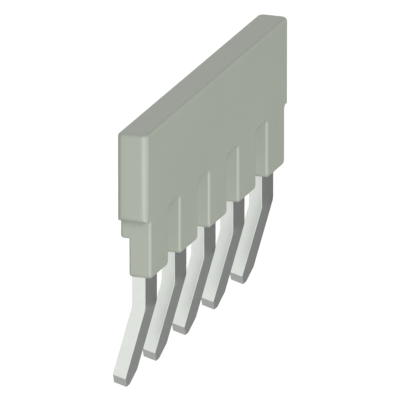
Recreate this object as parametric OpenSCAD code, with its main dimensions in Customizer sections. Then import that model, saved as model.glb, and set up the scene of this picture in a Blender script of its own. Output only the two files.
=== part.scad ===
// Plug-in jumper for a row of terminals: a bent copper comb with an insulating housing moulded round it.
// X runs along the row, the front faces -Y, and the legs point down.
// The origin is mid-row, mid-sheet, on the plane of the block's underside, which seats on the terminals.

/* [Row] */
// Number of terminals that the jumper bridges
poles = 5; // [2:1:10]
// Distance from one leg to the next
pitch = 6; // [5:0.1:10]

/* [Comb] */
// Thickness of the copper sheet
sheet_t = 1; // [0.5:0.1:1.5]
// Width of a leg
leg_w = 2.4; // [2:0.1:3]
// Straight run of a leg from the foot of its tooth to the bend
leg_drop = 2.14; // [0.5:0.02:6]
// Inside radius of the bend
bend_r = 1; // [0.5:0.1:3]
// Angle between the two runs of a leg
bend_deg = 15.6; // [5:0.1:45]
// Straight run of a leg from the bend to its tip
leg_reach = 6.04; // [2:0.02:12]
// Chamfer on each side of a leg's tip
tip_chamfer = 0.9; // [0.2:0.05:1.1]

/* [Block] */
// Height of the block above its underside
block_h = 6.35; // [4:0.05:12]
// Length of block that stands out past the end teeth
end_overhang = 0.84; // [0.4:0.01:2]
// Plastic in front of the sheet
front_wall = 0.61; // [0.4:0.01:1.2]
// Plastic behind the sheet
back_wall = 0.6; // [0.4:0.01:1.2]
// Plastic above the strip that joins the legs
roof_wall = 1.2; // [0.6:0.1:3]
// Plastic below the strip, over the slots
floor_wall = 0.8; // [0.4:0.1:2.5]

/* [Teeth] */
// Length of a tooth below the block
tooth_h = 4.22; // [2.5:0.01:10]
// Plastic on each side of a leg
side_wall = 0.61; // [0.4:0.01:1.2]
// Height of the part of a tooth that is as thick as the block
shoulder_h = 1.44; // [0.5:0.01:3.5]

/* [Edges] */
// Radius of the block's upright corners
corner_r = 0.5; // [0.2:0.05:0.9]
// Radius of the edges round the block's top
top_r = 0.25; // [0.05:0.01:0.35]
// Radius under the block's two ends
under_r = 0.45; // [0.1:0.05:0.5]
// Radius of a tooth's upright edges
tooth_edge_r = 0.2; // [0.05:0.01:0.3]
// Radius of the corners at a tooth's foot
tooth_foot_r = 0.35; // [0.1:0.05:0.8]
// Fillet between a tooth and the block
root_r = 0.25; // [0.1:0.05:0.25]

/* [Fit] */
// Gap that the shrinking plastic leaves round the metal
shrink_gap = 0.01; // [0.005:0.005:0.03]

/* [Hidden] */
$fn = 64;
// Overlap that keeps cuts and joins clean
lap = 0.2;
// Flats that follow the curve of a bend
bend_steps = 8;

// Through the thickness
half_t = sheet_t / 2;
pocket_half_t = half_t + shrink_gap;
y_front = -pocket_half_t - front_wall;
y_back = pocket_half_t + back_wall;
block_t = y_back - y_front;

// Along the row
row_len = (poles - 1) * pitch;
tooth_w = leg_w + 2 * (shrink_gap + side_wall);
slot_w = pitch - tooth_w;
block_len = row_len + tooth_w + 2 * end_overhang;
strip_len = row_len + leg_w;
function pole_x(i) = i * pitch - row_len / 2;

// Up and down
pocket_h = block_h - roof_wall - floor_wall;
strip_h = pocket_h - 2 * shrink_gap;
strip_z = floor_wall + shrink_gap;
bend_z = -tooth_h - leg_drop;

// Fillets give way where the wall that carries them gets too short
under_fit_r = min(under_r, end_overhang * 0.6);
root_fit_r = min(root_r, end_overhang / 3, slot_w / 3);

// What lies between a square corner at the origin and an arc that touches both of its sides
module corner_sliver(r) {
    difference() {
        translate([-lap, -lap]) square(r + lap);
        translate([r, r]) circle(r);
    }
}

// Rectangle with its low corner at the origin, and a radius on its two low and its two high corners
module soft_rect(w, h, r_low, r_high) {
    difference() {
        square([w, h]);
        for (end = [0, 1]) translate([end * w, 0]) mirror([end, 0]) {
            if (r_low > 0) corner_sliver(r_low);
            if (r_high > 0) translate([0, h]) mirror([0, 1]) corner_sliver(r_high);
        }
    }
}

// Extrudes a front view, drawn in X and Z, from y_from back to y_to
module from_front(y_from, y_to) {
    translate([0, y_to, 0]) rotate([90, 0, 0]) linear_extrude(y_to - y_from) children();
}

// Extrudes an end view, drawn in Y and Z, over a length centred on the row
module from_end(length) {
    translate([-length / 2, 0, 0]) rotate([90, 0, 90]) linear_extrude(length) children();
}

// The bar that a finger presses: crossed slabs and turned corners, so that the top radius runs right round
module block() {
    core_len = block_len - 2 * corner_r;
    corner_y = [y_front + corner_r, y_back - corner_r];
    intersection() {
        union() {
            from_end(core_len) translate([y_front, 0]) soft_rect(block_t, block_h, 0, top_r);
            from_front(corner_y[0], corner_y[1])
                translate([-block_len / 2, 0]) soft_rect(block_len, block_h, 0, top_r);
            for (x = [-core_len / 2, core_len / 2], y = corner_y) translate([x, y, 0]) block_corner();
        }
        from_front(y_front - lap, y_back + lap)
            translate([-block_len / 2, 0]) soft_rect(block_len, block_h + lap, under_fit_r, 0);
    }
}

// Upright post that rounds one corner of the block
module block_corner() {
    rotate_extrude()
        difference() {
            square([corner_r, block_h]);
            translate([corner_r, block_h]) rotate(180) corner_sliver(top_r);
        }
}

// One tooth: as thick as the block at its shoulder, and flush with the back of the sheet below it
module tooth() {
    intersection() {
        from_front(y_front - lap, y_back + lap)
            translate([-tooth_w / 2, -tooth_h]) soft_rect(tooth_w, tooth_h + lap, tooth_foot_r, 0);
        union() {
            translate([0, 0, -tooth_h]) tooth_column(tooth_h + lap, half_t);
            translate([0, 0, -shoulder_h]) tooth_column(shoulder_h + lap, y_back);
        }
    }
    for (side = [0, 1]) mirror([side, 0, 0]) root_fillet();
}

// Upright bar of a tooth, from the block's front face back to y_to
module tooth_column(h, y_to) {
    linear_extrude(h)
        translate([-tooth_w / 2, y_front]) soft_rect(tooth_w, y_to - y_front, tooth_edge_r, tooth_edge_r);
}

// Fills the corner between a tooth's side and the block's underside
module root_fillet() {
    from_front(y_front + tooth_edge_r, y_back - tooth_edge_r)
        translate([tooth_w / 2, 0]) mirror([0, 1]) corner_sliver(root_fit_r);
}

// Room in the plastic for the strip, and for the legs down to the feet of the teeth
module comb_pocket() {
    translate([-strip_len / 2 - shrink_gap, -pocket_half_t, floor_wall])
        cube([strip_len + 2 * shrink_gap, 2 * pocket_half_t, pocket_h]);
    for (i = [0 : poles - 1])
        translate([pole_x(i) - leg_w / 2 - shrink_gap, -pocket_half_t, -tooth_h - lap])
            cube([leg_w + 2 * shrink_gap, 2 * pocket_half_t, tooth_h + floor_wall + 2 * lap]);
}

// One leg: its bent side view drawn out to its width, with both corners cut off its tip
module leg() {
    difference() {
        from_end(leg_w) translate([half_t + bend_r, bend_z])
            polygon(concat(face_line(bend_r + sheet_t), backwards(face_line(bend_r))));
        translate([0, half_t + bend_r, bend_z]) rotate([bend_deg, 0, 0])
            for (side = [0, 1]) mirror([side, 0, 0]) tip_cut();
    }
}

// A leg's face from the side, about the bend's axis: down the straight run, round the bend and on to the tip
function face_line(r) = concat(
    [[-r, strip_z - bend_z + lap]],
    [for (k = [0 : bend_steps]) r * from_axis(k * bend_deg / bend_steps)],
    [r * from_axis(bend_deg) + leg_reach * from_axis(bend_deg + 90)]
);
function from_axis(deg) = [-cos(deg), -sin(deg)];
function backwards(points) = [for (k = [len(points) - 1 : -1 : 0]) points[k]];

// Cuts one corner off a tip that hangs straight down past the bend's axis
module tip_cut() {
    corner_x = leg_w / 2 + lap;
    corner_z = -leg_reach - lap;
    cut = tip_chamfer + 2 * lap;
    from_front(-bend_r - sheet_t - lap, lap - bend_r)
        polygon([[corner_x, corner_z], [corner_x, corner_z + cut], [corner_x - cut, corner_z]]);
}

module housing() {
    color("#a0a69a")
        difference() {
            union() {
                block();
                for (i = [0 : poles - 1]) translate([pole_x(i), 0, 0]) tooth();
            }
            comb_pocket();
        }
}

module contact_comb() {
    color("#c8cccb")
        union() {
            translate([-strip_len / 2, -half_t, strip_z]) cube([strip_len, sheet_t, strip_h]);
            for (i = [0 : poles - 1]) translate([pole_x(i), 0, 0]) leg();
        }
}

housing();
contact_comb();
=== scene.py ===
# Plug-in jumper for a row of terminals: a grey housing moulded round a bent, tin-plated copper comb.
import math

import bmesh
import bpy
from mathutils import Matrix, Vector


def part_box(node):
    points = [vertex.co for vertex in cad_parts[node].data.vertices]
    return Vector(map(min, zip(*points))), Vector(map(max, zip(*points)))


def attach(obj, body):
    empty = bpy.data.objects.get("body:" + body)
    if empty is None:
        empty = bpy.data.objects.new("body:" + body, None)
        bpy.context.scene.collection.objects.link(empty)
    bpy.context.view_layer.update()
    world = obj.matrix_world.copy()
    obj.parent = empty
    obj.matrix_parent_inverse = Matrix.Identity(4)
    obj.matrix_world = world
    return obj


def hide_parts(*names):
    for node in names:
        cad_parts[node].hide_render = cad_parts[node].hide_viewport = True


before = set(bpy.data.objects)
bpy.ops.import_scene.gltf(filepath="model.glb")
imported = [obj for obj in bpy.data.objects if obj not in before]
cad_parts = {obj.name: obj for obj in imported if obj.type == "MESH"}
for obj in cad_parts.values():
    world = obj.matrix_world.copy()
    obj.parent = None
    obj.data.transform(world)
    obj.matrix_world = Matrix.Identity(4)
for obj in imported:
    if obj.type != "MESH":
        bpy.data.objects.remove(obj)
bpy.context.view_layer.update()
mm = 0.001
near = 1e-4  # mm within which two coordinates count as one
flatTurn = 0.01  # radians within which neighbouring faces count as one
sharpTurn = math.radians(38)  # edges that turn by more are shaded sharp
noiseRange = {"From Min": 0.3, "From Max": 0.7}  # what a noise pattern mostly stays within


def linearColour(hexText):
    channels = [int(hexText[i:i + 2], 16) / 255 for i in (1, 3, 5)]
    linear = [c / 12.92 if c <= 0.04045 else ((c + 0.055) / 1.055) ** 2.4 for c in channels]
    return (*linear, 1)


def addNode(tree, kind, settings, links=None):
    node = tree.nodes.new(kind)
    for key, value in settings.items():
        if key in node.inputs:
            node.inputs[key].default_value = value
        else:
            setattr(node, key, value)
    for key, socket in (links or {}).items():
        tree.links.new(socket, node.inputs[key])
    return node


def emptyTree(owner):
    owner.use_nodes = True
    owner.node_tree.nodes.clear()
    return owner.node_tree


def perMetre(size):  # texture scale that draws features of this size in mm
    return 1 / (size * mm)


def boxInMm(node):
    return [Vector(corner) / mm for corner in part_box(node)]


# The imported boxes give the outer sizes; each piece's own values, in mm, say what the boxes can't
housingLow, housingHigh = boxInMm("housing")
combLow, combHigh = boxInMm("contact_comb")


def gridSolid(breaks, isSolid):
    # A solid made of the cells of a grid, with its flat faces joined up again
    solid = bmesh.new()
    corners = {}
    middles = [[(a + b) / 2 for a, b in zip(line, line[1:])] for line in breaks]
    counts = [len(line) for line in middles]
    cells = {
        (i, j, k)
        for i in range(counts[0]) for j in range(counts[1]) for k in range(counts[2])
        if isSolid(middles[0][i], middles[1][j], middles[2][k])
    }
    for cell in sorted(cells):
        for axis in range(3):
            across, along = (axis + 1) % 3, (axis + 2) % 3
            for side in (0, 1):
                neighbour = list(cell)
                neighbour[axis] += 2 * side - 1
                if tuple(neighbour) in cells:
                    continue
                loop = []
                for stepAcross, stepAlong in ((0, 0), (1, 0), (1, 1), (0, 1)):
                    place = list(cell)
                    place[axis] += side
                    place[across] += stepAcross
                    place[along] += stepAlong
                    place = tuple(place)
                    if place not in corners:
                        corners[place] = solid.verts.new([breaks[n][place[n]] for n in range(3)])
                    loop.append(corners[place])
                solid.faces.new(loop if side else loop[::-1])
    solid.normal_update()
    bmesh.ops.dissolve_limit(solid, angle_limit=flatTurn, verts=solid.verts, edges=solid.edges)
    return solid


def onPlane(edge, axis, values):
    return any(all(abs(v.co[axis] - value) < near for v in edge.verts) for value in values)


def roundEdges(solid, radius, segments, chosen):
    edges = [edge for edge in solid.edges if chosen(edge)]
    bmesh.ops.bevel(
        solid, geom=edges, offset=radius, offset_type="OFFSET", segments=segments, profile=0.5,
        affect="EDGES", clamp_overlap=False,
    )


def addPiece(name, mesh, node, material):
    piece = bpy.data.objects.new(name, mesh)
    bpy.context.scene.collection.objects.link(piece)
    mesh.materials.append(material)
    mesh.polygons.foreach_set("use_smooth", [True] * len(mesh.polygons))
    mesh.set_sharp_from_angle(angle=sharpTurn)
    normals = piece.modifiers.new("Even faces", "WEIGHTED_NORMAL")
    normals.keep_sharp = True
    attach(piece, "root")
    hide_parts(node)
    return piece


def meshInMetres(solid, name):
    solid.transform(Matrix.Scale(mm, 4))
    mesh = bpy.data.meshes.new(name)
    solid.to_mesh(mesh)
    solid.free()
    return mesh


# Polyamide shot into a spark-eroded mould: an even satin skin whose fine grain only breaks up the sheen,
# with faint clouds where the melt flowed; sizes in mm
polyamideSkin = {
    "colour": "#a0a69a",
    "darkest": 0.98,  # times the colour, in the clouds
    "palest": 1.02,
    "smoothest": 0.37,
    "roughest": 0.46,
    "cloudSize": 5.0,
    "grainSize": 0.11,  # real pits are 0.03 to 0.05, drawn coarser to show at all
    "grainHeight": 0.004,
    "grainStrength": 0.35,
    "ior": 1.53,
}


def makePolyamide():
    material = bpy.data.materials.new("moulded polyamide")
    tree = emptyTree(material)
    place = addNode(tree, "ShaderNodeTexCoord", {})
    cloud = addNode(
        tree, "ShaderNodeTexNoise", {"Scale": perMetre(polyamideSkin["cloudSize"]), "Detail": 3.0},
        {"Vector": place.outputs["Object"]},
    )
    pits = addNode(
        tree, "ShaderNodeTexNoise", {"Scale": perMetre(polyamideSkin["grainSize"]), "Detail": 2.0},
        {"Vector": place.outputs["Object"]},
    )
    paleness = addNode(
        tree, "ShaderNodeMapRange",
        {**noiseRange, "To Min": polyamideSkin["darkest"], "To Max": polyamideSkin["palest"]},
        {"Value": cloud.outputs["Fac"]},
    )
    tint = addNode(
        tree, "ShaderNodeHueSaturation", {"Color": linearColour(polyamideSkin["colour"])},
        {"Value": paleness.outputs["Result"]},
    )
    sheen = addNode(
        tree, "ShaderNodeMapRange",
        {**noiseRange, "To Min": polyamideSkin["smoothest"], "To Max": polyamideSkin["roughest"]},
        {"Value": pits.outputs["Fac"]},
    )
    bump = addNode(
        tree, "ShaderNodeBump",
        {"Strength": polyamideSkin["grainStrength"], "Distance": polyamideSkin["grainHeight"] * mm},
        {"Height": pits.outputs["Fac"]},
    )
    skin = addNode(
        tree, "ShaderNodeBsdfPrincipled", {"IOR": polyamideSkin["ior"]},
        {"Base Color": tint.outputs["Color"], "Roughness": sheen.outputs["Result"],
         "Normal": bump.outputs["Normal"]},
    )
    addNode(tree, "ShaderNodeOutputMaterial", {}, {"Surface": skin.outputs["BSDF"]})
    return material


# Copper strip, rolled, stamped and then barrel plated with tin: a satin silver-white metal with faint
# rolling lines along the row; sizes in mm
tinPlate = {
    "colour": "#dbdfdb",
    "darkest": 0.98,  # times the colour, in the patches
    "palest": 1.02,
    "smoothest": 0.28,
    "roughest": 0.34,
    "patchSize": 1.2,  # where the plating lies thicker
    "lineLength": 2.5,
    "lineWidth": 0.08,  # real lines are about 0.02 wide, drawn coarser to show
    "lineHeight": 0.002,
    "lineStrength": 0.02,
}


def makeTin():
    material = bpy.data.materials.new("tin-plated copper")
    tree = emptyTree(material)
    place = addNode(tree, "ShaderNodeTexCoord", {})
    along, across = perMetre(tinPlate["lineLength"]), perMetre(tinPlate["lineWidth"])
    stretch = addNode(
        tree, "ShaderNodeMapping", {"Scale": (along, across, across)},
        {"Vector": place.outputs["Object"]},
    )
    rolled = addNode(
        tree, "ShaderNodeTexNoise", {"Scale": 1.0, "Detail": 2.0},
        {"Vector": stretch.outputs["Vector"]},
    )
    patch = addNode(
        tree, "ShaderNodeTexNoise", {"Scale": perMetre(tinPlate["patchSize"]), "Detail": 3.0},
        {"Vector": place.outputs["Object"]},
    )
    paleness = addNode(
        tree, "ShaderNodeMapRange",
        {**noiseRange, "To Min": tinPlate["darkest"], "To Max": tinPlate["palest"]},
        {"Value": patch.outputs["Fac"]},
    )
    tint = addNode(
        tree, "ShaderNodeHueSaturation", {"Color": linearColour(tinPlate["colour"])},
        {"Value": paleness.outputs["Result"]},
    )
    sheen = addNode(
        tree, "ShaderNodeMapRange",
        {**noiseRange, "To Min": tinPlate["smoothest"], "To Max": tinPlate["roughest"]},
        {"Value": rolled.outputs["Fac"]},
    )
    bump = addNode(
        tree, "ShaderNodeBump",
        {"Strength": tinPlate["lineStrength"], "Distance": tinPlate["lineHeight"] * mm},
        {"Height": rolled.outputs["Fac"]},
    )
    plate = addNode(
        tree, "ShaderNodeBsdfPrincipled", {"Metallic": 1.0},
        {"Base Color": tint.outputs["Color"], "Roughness": sheen.outputs["Result"],
         "Normal": bump.outputs["Normal"]},
    )
    addNode(tree, "ShaderNodeOutputMaterial", {}, {"Surface": plate.outputs["BSDF"]})
    return material


print("Materials")
polyamide = makePolyamide()
tin = makeTin()


# Comb: stamped flat, edges rolled over by the punch, then bent
comb = {
    "pitch": 6.0,
    "legWidth": 2.4,
    "sheet": 1.0,
    "stripFloor": 0.81,  # underside of the strip that joins the legs
    "bendLine": -6.36,  # height at which a leg starts to bend
    "bendRadius": 1.0,  # inside the bend
    "bendAngle": math.radians(15.6),
    "bendCuts": 8,
    "tipChamfer": 0.9,
    "edgeRadius": 0.06,  # roll-over that the punch leaves
    "edgeSegments": 2,
    "cutFace": 0.999,  # a face is a cut edge if this share of its normal runs along the row
}

poleCount = round((2 * combHigh.x - comb["legWidth"]) / comb["pitch"]) + 1
poles = [comb["pitch"] * (i - (poleCount - 1) / 2) for i in range(poleCount)]


def nearestPole(x):
    return min(poles, key=lambda pole: abs(x - pole))


def makeComb():
    half = comb["sheet"] / 2
    legSides = [pole + side * comb["legWidth"] / 2 for pole in poles for side in (-1, 1)]
    neutral = comb["bendRadius"] + half  # radius of the sheet's middle in the bend
    outer = comb["bendRadius"] + comb["sheet"]
    angle = comb["bendAngle"]
    arc = neutral * angle
    reach = (comb["bendLine"] - combLow.z - outer * math.sin(angle)) / math.cos(angle)
    flatTip = comb["bendLine"] - arc - reach
    axis = half + comb["bendRadius"]
    breaks = [sorted(legSides), [-half, half], [flatTip, comb["stripFloor"], combHigh.z]]

    def isMetal(x, y, z):
        return z > comb["stripFloor"] or abs(x - nearestPole(x)) < comb["legWidth"] / 2

    solid = gridSolid(breaks, isMetal)
    roundEdges(
        solid, comb["tipChamfer"], 1,
        lambda edge: onPlane(edge, 2, [flatTip]) and onPlane(edge, 0, legSides))
    roundEdges(
        solid, comb["edgeRadius"], comb["edgeSegments"], lambda edge: onPlane(edge, 1, [-half, half]))
    for step in range(comb["bendCuts"] + 1):
        height = comb["bendLine"] - arc * step / comb["bendCuts"]
        everything = solid.verts[:] + solid.edges[:] + solid.faces[:]
        bmesh.ops.bisect_plane(
            solid, geom=everything, dist=near, plane_co=(0, 0, height), plane_no=(0, 0, 1))
    for vert in solid.verts:
        below = comb["bendLine"] - vert.co.z
        if below > 0:
            turn = min(below / neutral, angle)
            beyond = below - turn * neutral
            radius = axis - vert.co.y
            vert.co.y = axis - radius * math.cos(turn) + beyond * math.sin(turn)
            vert.co.z = comb["bendLine"] - radius * math.sin(turn) - beyond * math.cos(turn)
    return solid


# Housing: cells of a grid first, then each family of moulded edges gets its radius
housing = {
    "toothWidth": 3.64,
    "shoulder": 1.44,  # height of the full-thickness part of a tooth
    "pocketGap": 0.01,  # left by the shrinking plastic
    "rootRadius": 0.25,
    "footRadius": 0.35,
    "underRadius": 0.45,
    "toothEdgeRadius": 0.2,
    "cornerRadius": 0.5,
    "topRadius": 0.25,
    "segments": 5,
    "cornerSegments": 10,
    "envelopeDrop": 1.0,  # the envelope that rounds the block hangs this far below the teeth
}


def makeHousing():
    pocketSide = comb["legWidth"] / 2 + housing["pocketGap"]
    pocketHalf = comb["sheet"] / 2 + housing["pocketGap"]
    pocketEnd = combHigh.x + housing["pocketGap"]
    pocketTop = combHigh.z + housing["pocketGap"]
    pocketFloor = comb["stripFloor"] - housing["pocketGap"]
    toothBack = comb["sheet"] / 2  # flush with the back of the sheet
    toothHalf = housing["toothWidth"] / 2
    toothSides = [pole + side * toothHalf for pole in poles for side in (-1, 1)]
    pocketSides = [pole + side * pocketSide for pole in poles for side in (-1, 1)]
    ends = [housingLow.x, housingHigh.x]
    faces = [housingLow.y, housingHigh.y]
    breaks = [
        sorted(ends + toothSides + pocketSides),
        [housingLow.y, -pocketHalf, toothBack, pocketHalf, housingHigh.y],
        [housingLow.z, -housing["shoulder"], 0.0, pocketFloor, pocketTop, housingHigh.z],
    ]

    def isPlastic(x, y, z):
        offset = abs(x - nearestPole(x))
        isTooth = offset < toothHalf and (z > -housing["shoulder"] or y < toothBack)
        inSheet = abs(y) < pocketHalf
        inLeg = inSheet and offset < pocketSide and z < pocketFloor
        inStrip = inSheet and abs(x) < pocketEnd and pocketFloor < z < pocketTop
        return (z > 0 or isTooth) and not (inLeg or inStrip)

    def isRoot(edge):
        return onPlane(edge, 2, [0]) and onPlane(edge, 0, toothSides)

    def isFoot(edge):
        return onPlane(edge, 2, [housingLow.z]) and onPlane(edge, 0, toothSides)

    def isUnderEnd(edge):
        return onPlane(edge, 2, [0]) and onPlane(edge, 0, ends)

    def isOutline(edge):
        onFace = onPlane(edge, 1, faces) and not onPlane(edge, 2, [housingHigh.z])
        isShoulder = onPlane(edge, 2, [-housing["shoulder"]]) and onPlane(edge, 0, toothSides)
        isStep = onPlane(edge, 1, [toothBack]) and not onPlane(edge, 2, [-housing["shoulder"]])
        return (onFace and not onPlane(edge, 0, ends)) or isShoulder or (
            isStep and not onPlane(edge, 0, pocketSides))

    solid = gridSolid(breaks, isPlastic)
    roundEdges(solid, housing["rootRadius"], housing["segments"], isRoot)
    roundEdges(solid, housing["footRadius"], housing["segments"], isFoot)
    roundEdges(solid, housing["underRadius"], housing["segments"], isUnderEnd)
    roundEdges(solid, housing["toothEdgeRadius"], housing["segments"], isOutline)

    # The block's plan corners and the edge round its top, cut by a soft-cornered envelope
    envelope = gridSolid(
        [ends, faces, [housingLow.z - housing["envelopeDrop"], housingHigh.z]], lambda x, y, z: True)
    roundEdges(
        envelope, housing["cornerRadius"], housing["cornerSegments"],
        lambda edge: onPlane(edge, 0, ends) and onPlane(edge, 1, faces))
    roundEdges(
        envelope, housing["topRadius"], housing["segments"],
        lambda edge: onPlane(edge, 2, [housingHigh.z]))
    return cutToEnvelope(solid, envelope)


def cutToEnvelope(solid, envelope):
    holders = []
    for name, shape in (("solid", solid), ("envelope", envelope)):
        mesh = bpy.data.meshes.new(name)
        shape.to_mesh(mesh)
        shape.free()
        holder = bpy.data.objects.new(name, mesh)
        bpy.context.scene.collection.objects.link(holder)
        holders.append(holder)
    cut = holders[0].modifiers.new("Envelope", "BOOLEAN")
    cut.operation = "INTERSECT"
    cut.solver = "EXACT"
    cut.object = holders[1]
    graph = bpy.context.evaluated_depsgraph_get()
    result = bmesh.new()
    result.from_object(holders[0], graph)
    for holder in holders:
        mesh = holder.data
        bpy.data.objects.remove(holder)
        bpy.data.meshes.remove(mesh)
    bmesh.ops.remove_doubles(result, verts=result.verts, dist=near)
    return result


print("Housing")
housingMesh = meshInMetres(makeHousing(), "housingMoulding")
housingPiece = addPiece("housingMoulding", housingMesh, "housing", polyamide)

print("Comb")
combMesh = meshInMetres(makeComb(), "contactComb")
addPiece("contactComb", combMesh, "contact_comb", tin)
for face in combMesh.polygons:
    face.use_smooth = abs(face.normal.x) < comb["cutFace"]  # the cut edges stay flat all round the bend


def seenDirectly(tree):
    # 1 for the rays that show a surface as it is, 0 for those that light others with it
    path = addNode(tree, "ShaderNodeLightPath", {})
    mirrored = addNode(
        tree, "ShaderNodeMath", {"operation": "MAXIMUM"},
        {0: path.outputs["Is Camera Ray"], 1: path.outputs["Is Glossy Ray"]},
    )
    return addNode(
        tree, "ShaderNodeMath", {"operation": "MAXIMUM"},
        {0: mirrored.outputs["Value"], 1: path.outputs["Is Transmission Ray"]},
    ).outputs["Value"]


# Studio: a white floor, a wide key lamp, a low edge lamp and two grey cards that are painted
# reflections, seen only in mirrored rays; lengths in mm
studio = {
    "skyColour": "#ffffff",
    "ambient": 0.41,
    "lampDistance": 260,
    "floorDrop": 110,  # from the tips down to the floor
    "floorSize": 4000,
    "floorColour": "#f3f3f1",
    "floorLift": 0.46,  # only in what the camera and mirrored rays see, so that it reads as white paper
    "keyFrom": (-0.688, -0.588, 0.426),  # high enough to shade what lies under the block's end
    "keySpread": 34,  # degrees across, as a wide softbox
    "keyIrradiance": 1.83,
    "edgeFrom": (-0.70, -0.64, -0.31),  # where the moulded upright edges mirror it to the camera
    "edgeSize": 70,
    "edgeIrradiance": 0.90,
    "paintedReflectionNear": "#b9b9b9",  # painted reflection under the row, which the chamfered tips mirror
    "paintedReflectionFar": "#6f6f6f",  # painted reflection off to the right, a darker grey that the broad faces of the legs mirror
    "cardFade": (55, 300),  # along the row, over which one turns into the other
    "cardLift": 1,  # above the floor
    "cardCentre": (390, -50),
    "cardSize": (900, 600),
    "paintedReflectionUpright": "#b4b4b4",  # painted reflection standing to the right, which the block's long top edge mirrors, damping its sheen there
    "uprightFoot": (600, -220),
    "uprightSize": (760, 520),
}
floorHeight = combLow.z - studio["floorDrop"]


def addSheet(name, centre, width, depth, material):  # width and depth are vectors along its sides
    corners = [
        Vector(centre) + (Vector(width) * x + Vector(depth) * y) / 2
        for x, y in ((-1, -1), (1, -1), (1, 1), (-1, 1))
    ]
    mesh = bpy.data.meshes.new(name)
    mesh.from_pydata([corner * mm for corner in corners], [], [(0, 1, 2, 3)])
    mesh.materials.append(material)
    sheet = bpy.data.objects.new(name, mesh)
    bpy.context.scene.collection.objects.link(sheet)
    return sheet


def makeFloor():
    material = bpy.data.materials.new("pale studio floor")
    tree = emptyTree(material)
    paint = addNode(tree, "ShaderNodeBsdfDiffuse", {"Color": linearColour(studio["floorColour"])})
    lift = addNode(tree, "ShaderNodeEmission", {"Strength": studio["floorLift"]})
    both = addNode(
        tree, "ShaderNodeAddShader", {}, {0: paint.outputs["BSDF"], 1: lift.outputs["Emission"]})
    shown = addNode(
        tree, "ShaderNodeMixShader", {},
        {"Fac": seenDirectly(tree), 1: paint.outputs["BSDF"], 2: both.outputs["Shader"]},
    )
    addNode(tree, "ShaderNodeOutputMaterial", {}, {"Surface": shown.outputs["Shader"]})
    size = studio["floorSize"]
    return addSheet("studioFloor", (0, 0, floorHeight), (size, 0, 0), (0, size, 0), material)


# A graded grey sheet that glows and shows only in mirrored rays: a painted reflection that puts shade on
# the legs' broad faces and tips
def makeLyingPaintedReflection():
    material = bpy.data.materials.new("graded painted reflection")
    tree = emptyTree(material)
    place = addNode(tree, "ShaderNodeTexCoord", {})
    apart = addNode(tree, "ShaderNodeSeparateXYZ", {}, {"Vector": place.outputs["Object"]})
    fade = addNode(
        tree, "ShaderNodeMapRange",
        {"From Min": studio["cardFade"][0] * mm, "From Max": studio["cardFade"][1] * mm,
         "To Min": linearColour(studio["paintedReflectionNear"])[0], "To Max": linearColour(studio["paintedReflectionFar"])[0]},
        {"Value": apart.outputs["X"]},
    )
    shade = addNode(tree, "ShaderNodeEmission", {}, {"Strength": fade.outputs["Result"]})
    addNode(tree, "ShaderNodeOutputMaterial", {}, {"Surface": shade.outputs["Emission"]})
    centre = (*studio["cardCentre"], floorHeight + studio["cardLift"])
    width, depth = studio["cardSize"]
    return addSheet("studioPaintedReflection", centre, (width, 0, 0), (0, depth, 0), material)


# A grey sheet that glows and shows only in mirrored rays: a painted reflection that dims the sheen along
# the block's long top edge
def makeUprightPaintedReflection():
    material = bpy.data.materials.new("plain painted reflection")
    tree = emptyTree(material)
    shade = addNode(tree, "ShaderNodeEmission", {"Color": linearColour(studio["paintedReflectionUpright"])})
    addNode(tree, "ShaderNodeOutputMaterial", {}, {"Surface": shade.outputs["Emission"]})
    width, height = studio["uprightSize"]
    centre = (*studio["uprightFoot"], floorHeight + height / 2)
    return addSheet("studioUprightReflection", centre, (0, width, 0), (0, 0, height), material)


def makeWorld():
    world = bpy.data.worlds.new("studio")
    bpy.context.scene.world = world
    tree = emptyTree(world)
    level = addNode(
        tree, "ShaderNodeMapRange", {"To Min": studio["ambient"], "To Max": 1.0},
        {"Value": seenDirectly(tree)},
    )
    sky = addNode(
        tree, "ShaderNodeBackground", {"Color": linearColour(studio["skyColour"])},
        {"Strength": level.outputs["Result"]},
    )
    addNode(tree, "ShaderNodeOutputWorld", {}, {"Surface": sky.outputs["Background"]})


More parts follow.
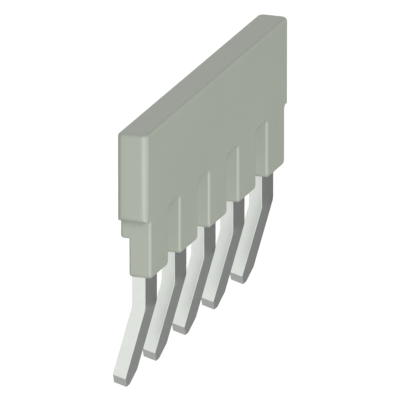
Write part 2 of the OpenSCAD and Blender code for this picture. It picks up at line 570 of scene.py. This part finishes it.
def addLamp(name, kind, direction, settings, lit):
    lamp = bpy.data.lights.new(name, kind)
    for key, value in settings.items():
        setattr(lamp, key, value)
    holder = bpy.data.objects.new(name, lamp)
    bpy.context.scene.collection.objects.link(holder)
    holder.location = Vector(direction).normalized() * studio["lampDistance"] * mm
    holder.rotation_euler = Vector(direction).to_track_quat("Z", "Y").to_euler()
    holder.visible_camera = False
    receivers = bpy.data.collections.new(name)
    for thing in lit:
        receivers.objects.link(thing)
    holder.light_linking.receiver_collection = receivers


# Both lamps are kept off the metal, which mirrors the white floor and the cards, painted reflections,
# instead
print("Studio")
floor = makeFloor()
for card in (makeLyingPaintedReflection(), makeUprightPaintedReflection()):  # painted reflections: both show in mirrored rays and nowhere else
    card.visible_camera = False
    card.visible_diffuse = False
    card.visible_shadow = False
makeWorld()
addLamp(
    "keyLamp", "SUN", studio["keyFrom"],
    {"energy": studio["keyIrradiance"], "angle": math.radians(studio["keySpread"])},
    [housingPiece, floor],
)
edgePower = math.pi * studio["edgeIrradiance"] * (studio["lampDistance"] * mm) ** 2
addLamp(
    "edgeLamp", "AREA", studio["edgeFrom"],
    {"shape": "SQUARE", "size": studio["edgeSize"] * mm, "energy": edgePower},
    [housingPiece],
)

# Camera: placed by the outline and the edges of the picture
camera = {
    "azimuth": math.radians(-70.32),  # 0 looks along +Y
    "elevation": math.radians(17.99),
    "lens": 1650,  # long, since the picture shows hardly any perspective
    "pictureWidth": 27.72,  # mm across at the aim point
    "aim": (0.199, 0.315, -2.886),
}


def makeCamera():
    lens = bpy.data.cameras.new("camera")
    lens.lens = camera["lens"]
    holder = bpy.data.objects.new("camera", lens)
    bpy.context.scene.collection.objects.link(holder)
    level = math.cos(camera["elevation"])
    back = Vector((
        math.sin(camera["azimuth"]) * level, -math.cos(camera["azimuth"]) * level,
        math.sin(camera["elevation"]),
    ))
    distance = camera["pictureWidth"] * camera["lens"] / lens.sensor_width
    holder.location = (Vector(camera["aim"]) + back * distance) * mm
    holder.rotation_euler = back.to_track_quat("Z", "Y").to_euler()
    bpy.context.scene.camera = holder


print("Camera")
makeCamera()
bpy.context.scene.view_settings.view_transform = "Standard"
